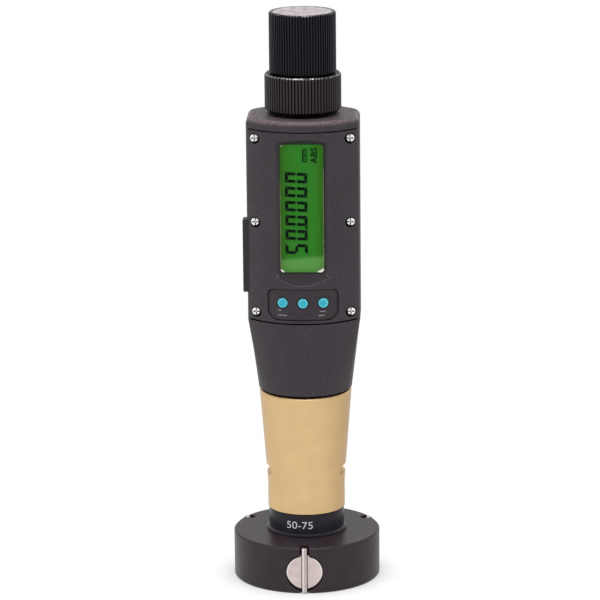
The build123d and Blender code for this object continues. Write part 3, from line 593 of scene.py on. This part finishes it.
def faced_metal(name, colour):
    """Metal disc turned on its face: fine circles, bright and dark spots, and painted highlights in
    streaks that fan out.
    """
    finish = Finish(name, metallic=1.0)
    x, y, _ = finish.axes()
    radius = finish.axis_distance()
    # Painted highlights in streaks that fan out from the middle
    fan = finish.node("ShaderNodeCombineXYZ")
    finish.link(finish.maths("DIVIDE", x, radius), fan.inputs[0])
    finish.link(finish.maths("DIVIDE", y, radius), fan.inputs[1])
    highlight_streak = finish.node("ShaderNodeTexNoise")
    highlight_streak.inputs["Scale"].default_value = 4.0
    finish.link(fan.outputs["Vector"], highlight_streak.inputs["Vector"])
    fanned_highlights = finish.shades(highlight_streak.outputs["Fac"], colour, 0.82, 1.1, 0.35, 0.65)
    spots = finish.shades(finish.grain(1.7 * MM, 2), colour, 0.6, 1.4, 0.42, 0.62)
    finish.colour(finish.blend(0.72, fanned_highlights, spots))
    circles = finish.grain(0.1 * MM, 2, (60, 60, 1))
    finish.roughen(circles, 0.28, 0.4)
    finish.relief(circles, 0.002 * MM)
    return finish


ring_black = ribbed_black(
    "ring_black",
    "thimble_ring",
    srgb(46, 42, 46),
    crest_highlight=1.8,
    chamfer=0.48 * MM,
)
knob_black = ribbed_black(
    "knob_black",
    "ratchet_knob",
    srgb(24, 22, 27),
    crest_highlight=2.3,
    chamfer=0.3 * MM,
    face_radius=10.225 * MM,
)
dress(ring_black, "thimble_ring")
dress(knob_black, "ratchet_knob")
dress(faced_metal("turned_cap", srgb(212, 200, 205)), "knob_cap")


# Window and display
def clear_window(name):
    """Clear in front of the display, with its gloss by Fresnel."""
    finish = Finish(name)
    smooth = finish.node("ShaderNodeBsdfGlossy")
    clear = finish.node("ShaderNodeBsdfTransparent")
    clear.inputs["Color"].default_value = (0.94, 0.97, 0.94, 1)
    bend = finish.node("ShaderNodeFresnel")
    bend.inputs["IOR"].default_value = 1.11
    finish.link(finish.span(finish.grain(3 * MM, 2), 0.3, 0.7, 0.05, 0.12), smooth.inputs["Roughness"])
    mix = finish.node("ShaderNodeMixShader")
    finish.link(bend.outputs["Fac"], mix.inputs["Fac"])
    finish.link(clear.outputs["BSDF"], mix.inputs[1])
    finish.link(smooth.outputs["BSDF"], mix.inputs[2])
    finish.link(mix.outputs["Shader"], finish.tree.nodes["Material Output"].inputs["Surface"])
    return finish


def painted_glow_panel(name):
    """A painted green glow, with painted shade that turns it olive towards its long edges and painted
    light at its foot.
    """
    finish = Finish(name, roughness=0.35, specular=0.2, glow=0.8)
    x, _, z = finish.axes()
    middle = (panel_low.x + panel_high.x) / 2
    side = finish.maths("ABSOLUTE", finish.maths("SUBTRACT", x, middle))
    green = finish.ramp(
        finish.span(side, 0.0, (panel_high.x - panel_low.x) / 2),
        (0.0, srgb(32, 104, 22)),
        (0.55, srgb(35, 101, 16)),
        (1.0, srgb(42, 80, 8)),
    )
    foot_slope = 0.1
    tilted = finish.maths("SUBTRACT", z, finish.maths("MULTIPLY", x, foot_slope))
    # Painted light towards the foot of the display
    foot = finish.span(tilted, panel_low.z + 4.6 * MM, panel_low.z + 5.8 * MM, 0.6, 0.0)
    glow = finish.blend(foot, green, srgb(92, 140, 74))
    cloud = finish.ramp(finish.grain(6 * MM, 1), (0.3, plain(0.95)), (0.7, plain(1.0)))
    tinted = finish.multiply(glow, cloud)
    finish.colour(tinted)
    # The painted colour also glows
    finish.link(tinted, finish.shader.inputs["Emission Color"])
    return finish


dress(clear_window("clear_window"), "display_window")
dress(painted_glow_panel("green_display"), "lcd_panel")

# Finishes of the inner pieces
tool_steel = turned_metal("turned_tool_steel", srgb(176, 176, 180), 0.28)
brass = turned_metal("turned_brass", srgb(205, 170, 100), 0.3)
spring_steel = ground_metal("spring_steel", srgb(170, 172, 178), 0.25)
board_green = moulded("circuit_board_green", srgb(30, 92, 58), 0.45)
plate_copper = turned_metal("coded_copper", srgb(200, 130, 84), 0.3)
dark_plastic = moulded("dark_switch_plastic", srgb(40, 40, 42), 0.45)
cell_steel = ground_metal("coin_cell_steel", srgb(200, 200, 204), 0.22)
dress(tool_steel, "measuring_cone", "spindle", "spindle_key", "guide_pins", "knob_screw")
dress(tool_steel, "drive_screw", "ratchet_wheel", "ratchet_plate")
dress(brass, "spindle_bush", "thimble_bearing", "thimble_nut", "battery_contacts")
dress(spring_steel, "anvil_spring_front", "anvil_spring_left_rear", "anvil_spring_right_rear")
dress(spring_steel, "ratchet_spring")
dress(board_green, "circuit_board")
dress(plate_copper, "encoder_disc", "encoder_stator")
dress(dark_plastic, "key_switches")
dress(cell_steel, "coin_cell")


# Printed pieces, and flat pieces of painted light and shade
def print_and_painted_light(name, low, high, size, roughness, specular, detail=2):
    """A finish for print and for painted light and shade on thin pieces: its colour wanders between two by
    a fine grain.
    """
    finish = Finish(name, roughness=roughness, specular=specular)
    finish.colour(finish.ramp(finish.grain(size, detail), (0.3, low), (0.7, high)))
    return finish


def fixed_piece(name, mesh, finish):
    """An object that wears a finish and rides on the instrument's body."""
    mesh.materials.clear()
    mesh.materials.append(finish.material)
    piece = bpy.data.objects.new(name, mesh)
    bpy.context.scene.collection.objects.link(piece)
    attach(piece, "instrument")


def flat_mark(name, outlines, place, finish):
    """A thin flat piece, used for print and for painted light and shade: flat outlines in (along, up),
    laid on a surface by place().
    """
    points = []
    faces = []
    for outline in outlines:
        faces.append(list(range(len(points), len(points) + len(outline))))
        points.extend(place(along, up) for along, up in outline)
    mesh = bpy.data.meshes.new(name)
    mesh.from_pydata(points, [], faces)
    fixed_piece(name, mesh, finish)


def printed_words(name, words, size, place, finish, weight):
    """Words of a weight, scaled to a size of (length, height) and laid on a surface by place()."""
    curve = bpy.data.curves.new(name, "FONT")
    curve.body = words
    curve.offset = weight
    holder = bpy.data.objects.new(name, curve)
    bpy.context.scene.collection.objects.link(holder)
    bpy.context.view_layer.update()
    mesh = bpy.data.meshes.new_from_object(holder.evaluated_get(bpy.context.evaluated_depsgraph_get()))
    bpy.data.objects.remove(holder)
    bpy.data.curves.remove(curve)
    xs = [vertex.co.x for vertex in mesh.vertices]
    ys = [vertex.co.y for vertex in mesh.vertices]
    length, height = size
    for vertex in mesh.vertices:
        along = (vertex.co.x - min(xs)) / (max(xs) - min(xs)) * length
        up = (vertex.co.y - min(ys)) / (max(ys) - min(ys)) * height
        vertex.co = place(along, up)
    mesh.name = name
    fixed_piece(name, mesh, finish)


# Reading on the display: it runs upwards, its glyphs stand towards -X
print_lift = 0.05 * MM
print_plane = panel_low.y - print_lift
digit_base = 1.65 * MM
digit_height = 7.3 * MM
digit_width = 3.45 * MM
digit_slant = 0.4 * MM
digit_pitch = 4.77 * MM
bar = 1.02 * MM
bar_gap = 0.06 * MM
middle_gap = 0.24 * MM
point_size = 0.8 * MM
first_digit = panel_low.z + 6.27 * MM
point_foot = panel_low.z + 14.85 * MM
unit_foot = panel_low.z + 37.3 * MM
unit_base = 1.72 * MM
unit_size = (4.35 * MM, 1.75 * MM)
mode_foot = panel_low.z + 36.72 * MM
mode_base = 4.97 * MM
mode_size = (5.4 * MM, 2.2 * MM)
zero_bars = ("top", "upper_left", "upper_right", "lower_left", "lower_right", "bottom")
five_bars = ("top", "upper_left", "middle", "lower_right", "bottom")
segment_dark = print_and_painted_light("display_segment", srgb(2, 8, 12), srgb(4, 16, 18), 0.4 * MM, 0.5, 0.05, 1)


def segment_outlines(lit):
    """Outlines of the lit bars of one seven-segment digit."""
    width, height, half = digit_width, digit_height, digit_height / 2
    left_inner = bar + bar_gap
    right_inner = width - bar - bar_gap
    bars = {
        "top": [(bar_gap, height), (width - bar_gap, height)]
        + [(right_inner, height - bar), (left_inner, height - bar)],
        "upper_left": [(0, height - bar_gap), (bar, height - left_inner)]
        + [(bar, half + middle_gap), (0, half + middle_gap)],
        "middle": [(bar / 2 + bar_gap, half), (left_inner, half + bar / 2)]
        + [(right_inner, half + bar / 2), (width - bar / 2 - bar_gap, half)]
        + [(right_inner, half - bar / 2), (left_inner, half - bar / 2)],
    }
    bars["bottom"] = [(u, height - v) for u, v in bars["top"]]
    bars["lower_left"] = [(u, height - v) for u, v in bars["upper_left"]]
    bars["upper_right"] = [(width - u, v) for u, v in bars["upper_left"]]
    bars["lower_right"] = [(width - u, height - v) for u, v in bars["upper_left"]]
    return [[(u + digit_slant * v / height, v) for u, v in bars[name]] for name in lit]


def on_panel(foot, base):
    """Places (along, up) of a row of glyphs that starts at height foot on the display."""
    return lambda along, up: Vector((base - up, print_plane, foot + along))


flat_mark("digit_five", segment_outlines(five_bars), on_panel(first_digit, digit_base), segment_dark)
for number in range(1, 6):
    foot = first_digit + number * digit_pitch
    flat_mark(f"digit_zero_{number}", segment_outlines(zero_bars), on_panel(foot, digit_base), segment_dark)
point_outline = [(0, 0), (point_size, 0), (point_size, point_size), (0, point_size)]
flat_mark("decimal_point", [point_outline], on_panel(point_foot, digit_base), segment_dark)
printed_words("unit_mark", "mm", unit_size, on_panel(unit_foot, unit_base), segment_dark, 0.024)
printed_words("mode_mark", "ABS", mode_size, on_panel(mode_foot, mode_base), segment_dark, 0.022)

# Edge of the window: a black band of painted shade, painted highlight lines inside it, and painted glints
# in three corners
window_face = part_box("display_window")[0].y - 0.01 * MM
corner_radius = 1.3 * MM
corner_steps = 8
shade_band_right = 0.4 * MM
shade_band_side = 0.16 * MM
shade_band_foot = 0.34 * MM
line_width = 0.16 * MM
line_foot = opening_foot + corner_radius
# Painted shade: a black band round the window
shade_band_black = print_and_painted_light("window_shade_band", srgb(14, 13, 14), srgb(24, 22, 23), 0.3 * MM, 0.5, 0.15)
# Painted glints in the window's corners, bright and dim
glint_bright = print_and_painted_light("window_glint", srgb(240, 234, 216), srgb(252, 250, 244), 0.5 * MM, 0.3, 0.4)
glint_dim = print_and_painted_light("window_glint_dim", srgb(140, 140, 120), srgb(186, 184, 164), 0.5 * MM, 0.3, 0.4)
# Painted highlight lines along the window's long edges
edge_highlight = print_and_painted_light("window_edge_highlight", srgb(92, 104, 70), srgb(150, 150, 122), 2 * MM, 0.35, 0.4)


def on_window(x, z):
    """A place on the front face of the window."""
    return Vector((x, window_face, z))


def quarter_arc(x, z, radius, start):
    """Points of a quarter circle about (x, z), from a start angle in degrees."""
    angles = [math.radians(start + 90 * step / corner_steps) for step in range(corner_steps + 1)]
    return [(x + radius * math.cos(angle), z + radius * math.sin(angle)) for angle in angles]


def rounded_loop(left, right, foot, head, radius):
    """Points round a rectangle with round corners."""
    return (
        quarter_arc(right - radius, head - radius, radius, 0)
        + quarter_arc(left + radius, head - radius, radius, 90)
        + quarter_arc(left + radius, foot + radius, radius, 180)
        + quarter_arc(right - radius, foot + radius, radius, 270)
    )


def ring_outlines(outer, inner):
    """Four-sided outlines between two loops of as many points."""
    outer_after = outer[1:] + outer[:1]
    inner_after = inner[1:] + inner[:1]
    return [list(corners) for corners in zip(outer, outer_after, inner_after, inner)]


# Band of painted shade round the window
shade_band_outer = rounded_loop(opening_left, opening_right, opening_foot, opening_head, corner_radius)
shade_band_inner = rounded_loop(
    opening_left + shade_band_side,
    opening_right - shade_band_right,
    opening_foot + shade_band_foot,
    opening_head - shade_band_side,
    corner_radius - shade_band_side,
)
flat_mark("window_shade_band", ring_outlines(shade_band_outer, shade_band_inner), on_window, shade_band_black)
# Painted highlight lines inside the band of painted shade
for name, line_left, line_length in (
    ("window_highlight_left", opening_left + shade_band_side, 31 * MM - corner_radius),
    ("window_highlight_right", opening_right - shade_band_right - line_width, 35.5 * MM - corner_radius),
):
    line_right = line_left + line_width
    line_head = line_foot + line_length
    strip = [
        (line_left, line_foot),
        (line_right, line_foot),
        (line_right, line_head),
        (line_left, line_head),
    ]
    flat_mark(name, [strip], on_window, edge_highlight)

# Painted glints in the lower corners of the window
glint_corner_radius = corner_radius - shade_band_side
glint_level = opening_foot + shade_band_foot + glint_corner_radius
glint_right = opening_right - shade_band_right - glint_corner_radius
glint_left = opening_left + corner_radius
right_arc = quarter_arc(glint_right, glint_level, glint_corner_radius, 270)
right_cut = [
    (glint_right + glint_corner_radius - 0.15 * MM, glint_level + 0.35 * MM),
    (glint_right - 1.3 * MM, glint_level - glint_corner_radius + 0.12 * MM),
]
left_arc = quarter_arc(glint_left, glint_level, glint_corner_radius, 180)
left_cut = [
    (glint_left + 0.2 * MM, glint_level - glint_corner_radius + 0.3 * MM),
    (glint_left - glint_corner_radius + 0.3 * MM, glint_level),
]
flat_mark("window_glint_right", [right_arc + right_cut], on_window, glint_bright)
flat_mark("window_glint_left", [left_arc + left_cut], on_window, glint_bright)

# A dimmer painted glint in the upper left corner
glint_depth = 0.5 * MM
upper_level = opening_head - corner_radius
upper_points = []
for glint_radius, glint_angle in (
    (glint_corner_radius, 155),
    (glint_corner_radius, 128),
    (glint_corner_radius, 100),
    (glint_corner_radius - glint_depth, 128),
):
    turned = math.radians(glint_angle)
    upper_points.append(
        (glint_left + glint_radius * math.cos(turned), upper_level + glint_radius * math.sin(turned))
    )
flat_mark("window_glint_upper", [upper_points], on_window, glint_dim)

# Range figures on the collar
collar_low, collar_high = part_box("range_collar")
figure_lift = 0.03 * MM
flange_step = 0.8 * MM
figure_radius = collar_high.x - flange_step + figure_lift
figure_start = math.radians(-29.4)
figure_foot = collar_low.z + 3.0 * MM
figure_size = (8.95 * MM, 2.45 * MM)
figure_white = print_and_painted_light("white_figures", srgb(222, 224, 228), srgb(246, 247, 250), 0.15 * MM, 0.5, 0.3)


def on_collar(along, up):
    """A place on the collar, along its round from the first figure and up from their foot."""
    angle = figure_start + along / figure_radius
    return Vector((figure_radius * math.sin(angle), -figure_radius * math.cos(angle), figure_foot + up))


printed_words("range_figures", "50-75", figure_size, on_collar, figure_white, -0.004)

# Plain bars under the outer buttons, in place of their small labels
label_height = 0.28 * MM
label_steps = 3
label_lift = 0.02 * MM
label_radius = bow_radius - key_panel_depth + label_lift
label_grey = print_and_painted_light("label_grey", srgb(120, 112, 118), srgb(176, 168, 172), 0.2 * MM, 0.5, 0.3)


def on_button_panel(start, drop):
    """Places (along, up) of a bar on the bowed panel: its left end, and how far below the buttons."""

    def place(along, up):
        x = start + along
        return Vector((x, bow_centre - math.sqrt(label_radius**2 - x**2), button_level - drop + up))

    return place


def bar_outlines(length):
    """A thin bar in steps, so that it can follow the bow."""
    ends = [length * step / label_steps for step in range(label_steps + 1)]
    return [
        [(left, 0), (right, 0), (right, label_height), (left, label_height)]
        for left, right in zip(ends, ends[1:])
    ]


for name, start, drop, length in (
    ("label_left_upper", -8.3 * MM, 2.6 * MM, 1.2 * MM),
    ("label_left_lower", -8.4 * MM, 4.31 * MM, 3.1 * MM),
    ("label_right_upper", 5.5 * MM, 2.95 * MM, 2.0 * MM),
    ("label_right_lower", 5.1 * MM, 4.31 * MM, 2.1 * MM),
):
    flat_mark(name, bar_outlines(length), on_button_panel(start, drop), label_grey)

# Floor and surroundings
floor_reach = 6.0
contact_shadow = 8 * MM
back_loss = 0.27
side_loss = 0.13
ambient_level = 0.6


def seen_ray(tree):
    """1 for the rays that see the white studio: camera, glossy and transmission rays."""
    path = tree.nodes.new("ShaderNodeLightPath")
    seen = path.outputs["Is Camera Ray"]
    for kind in ("Is Glossy Ray", "Is Transmission Ray"):
        seen = maths_node(tree, "MAXIMUM", seen, path.outputs[kind])
    return seen


def floor_level(tree):
    """White where it is seen directly; in reflections dimmer towards the back, more so on the right."""
    place = tree.nodes.new("ShaderNodeTexCoord")
    heading = tree.nodes.new("ShaderNodeVectorMath")
    heading.operation = "NORMALIZE"
    tree.links.new(place.outputs["Object"], heading.inputs[0])
    split = tree.nodes.new("ShaderNodeSeparateXYZ")
    tree.links.new(heading.outputs["Vector"], split.inputs[0])
    behind = maths_node(tree, "MULTIPLY_ADD", split.outputs["Y"], 0.5, 0.5)
    loss = maths_node(tree, "MULTIPLY_ADD", split.outputs["X"], side_loss, back_loss)
    dimmed = maths_node(tree, "SUBTRACT", 1.0, maths_node(tree, "MULTIPLY", behind, loss))
    path = tree.nodes.new("ShaderNodeLightPath")
    return maths_node(tree, "MAXIMUM", path.outputs["Is Camera Ray"], dimmed)


def studio_floor():
    """White floor that keeps a soft shadow close round the object."""
    paint = bpy.data.materials.new("studio_floor")
    paint.use_nodes = True
    tree = paint.node_tree
    tree.nodes.remove(tree.nodes["Principled BSDF"])
    matte = tree.nodes.new("ShaderNodeBsdfDiffuse")
    matte.inputs["Color"].default_value = plain(0.8)
    white = tree.nodes.new("ShaderNodeEmission")
    tree.links.new(floor_level(tree), white.inputs["Strength"])
    openness = tree.nodes.new("ShaderNodeAmbientOcclusion")
    openness.inputs["Distance"].default_value = contact_shadow
    mix = tree.nodes.new("ShaderNodeMixShader")
    share = maths_node(tree, "MULTIPLY", seen_ray(tree), openness.outputs["AO"])
    tree.links.new(share, mix.inputs["Fac"])
    tree.links.new(matte.outputs[0], mix.inputs[1])
    tree.links.new(white.outputs[0], mix.inputs[2])
    tree.links.new(mix.outputs[0], tree.nodes["Material Output"].inputs["Surface"])
    return paint


def studio_world():
    """White surroundings where they are seen, and a dimmer even light on everything."""
    world = bpy.data.worlds.new("studio")
    world.use_nodes = True
    tree = world.node_tree
    ambient = tree.nodes["Background"]
    ambient.inputs["Color"].default_value = plain(1.0)
    ambient.inputs["Strength"].default_value = ambient_level
    seen = tree.nodes.new("ShaderNodeBackground")
    seen.inputs["Strength"].default_value = 1.0
    mix = tree.nodes.new("ShaderNodeMixShader")
    tree.links.new(seen_ray(tree), mix.inputs["Fac"])
    tree.links.new(ambient.outputs[0], mix.inputs[1])
    tree.links.new(seen.outputs[0], mix.inputs[2])
    tree.links.new(mix.outputs[0], tree.nodes["World Output"].inputs["Surface"])
    return world


floor_corners = [
    (-floor_reach, -floor_reach, 0),
    (floor_reach, -floor_reach, 0),
    (floor_reach, floor_reach, 0),
    (-floor_reach, floor_reach, 0),
]
floor_mesh = bpy.data.meshes.new("floor")
floor_mesh.from_pydata(floor_corners, [], [(0, 1, 2, 3)])
floor_mesh.materials.append(studio_floor())
floor = bpy.data.objects.new("floor", floor_mesh)
bpy.context.scene.collection.objects.link(floor)
bpy.context.scene.world = studio_world()


# Lights
def soft_light(name, place, size, power):
    """A rectangular lamp that faces the middle of the object."""
    lamp = bpy.data.lights.new(name, "AREA")
    lamp.shape = "RECTANGLE"
    lamp.size, lamp.size_y = size
    lamp.energy = power
    holder = bpy.data.objects.new(name, lamp)
    bpy.context.scene.collection.objects.link(holder)
    middle = Vector((0, 0, cad_box[1].z / 2))
    holder.location = place
    holder.rotation_euler = (middle - Vector(place)).to_track_quat("-Z", "Y").to_euler()


soft_light("left_light", (-0.9, -0.6, 0.5), (0.5, 0.9), 2.2)
soft_light("right_light", (0.9, -0.6, 0.5), (0.5, 0.9), 2.0)
soft_light("top_light", (0.0, -0.1, 1.15), (0.8, 0.6), 4.2)

# Camera, in front of the object and a little above it
camera_reach = 1.11165
camera_height = 0.36514
camera_turn = math.radians(2.2)
camera_pitch = math.radians(13.685)
camera_roll = math.radians(-0.522)
camera_place = (camera_reach * math.sin(camera_turn), -camera_reach * math.cos(camera_turn), camera_height)
lens = bpy.data.cameras.new("camera")
lens.lens = 206.37
lens.sensor_width = 36
lens.shift_x = -0.008
camera = bpy.data.objects.new("camera", lens)
bpy.context.scene.collection.objects.link(camera)
camera.matrix_world = (
    Matrix.Translation(camera_place)
    @ Matrix.Rotation(camera_turn, 4, "Z")
    @ Matrix.Rotation(math.pi / 2 - camera_pitch, 4, "X")
    @ Matrix.Rotation(camera_roll, 4, "Z")
)
bpy.context.scene.camera = camera
bpy.context.scene.view_settings.view_transform = "Standard"
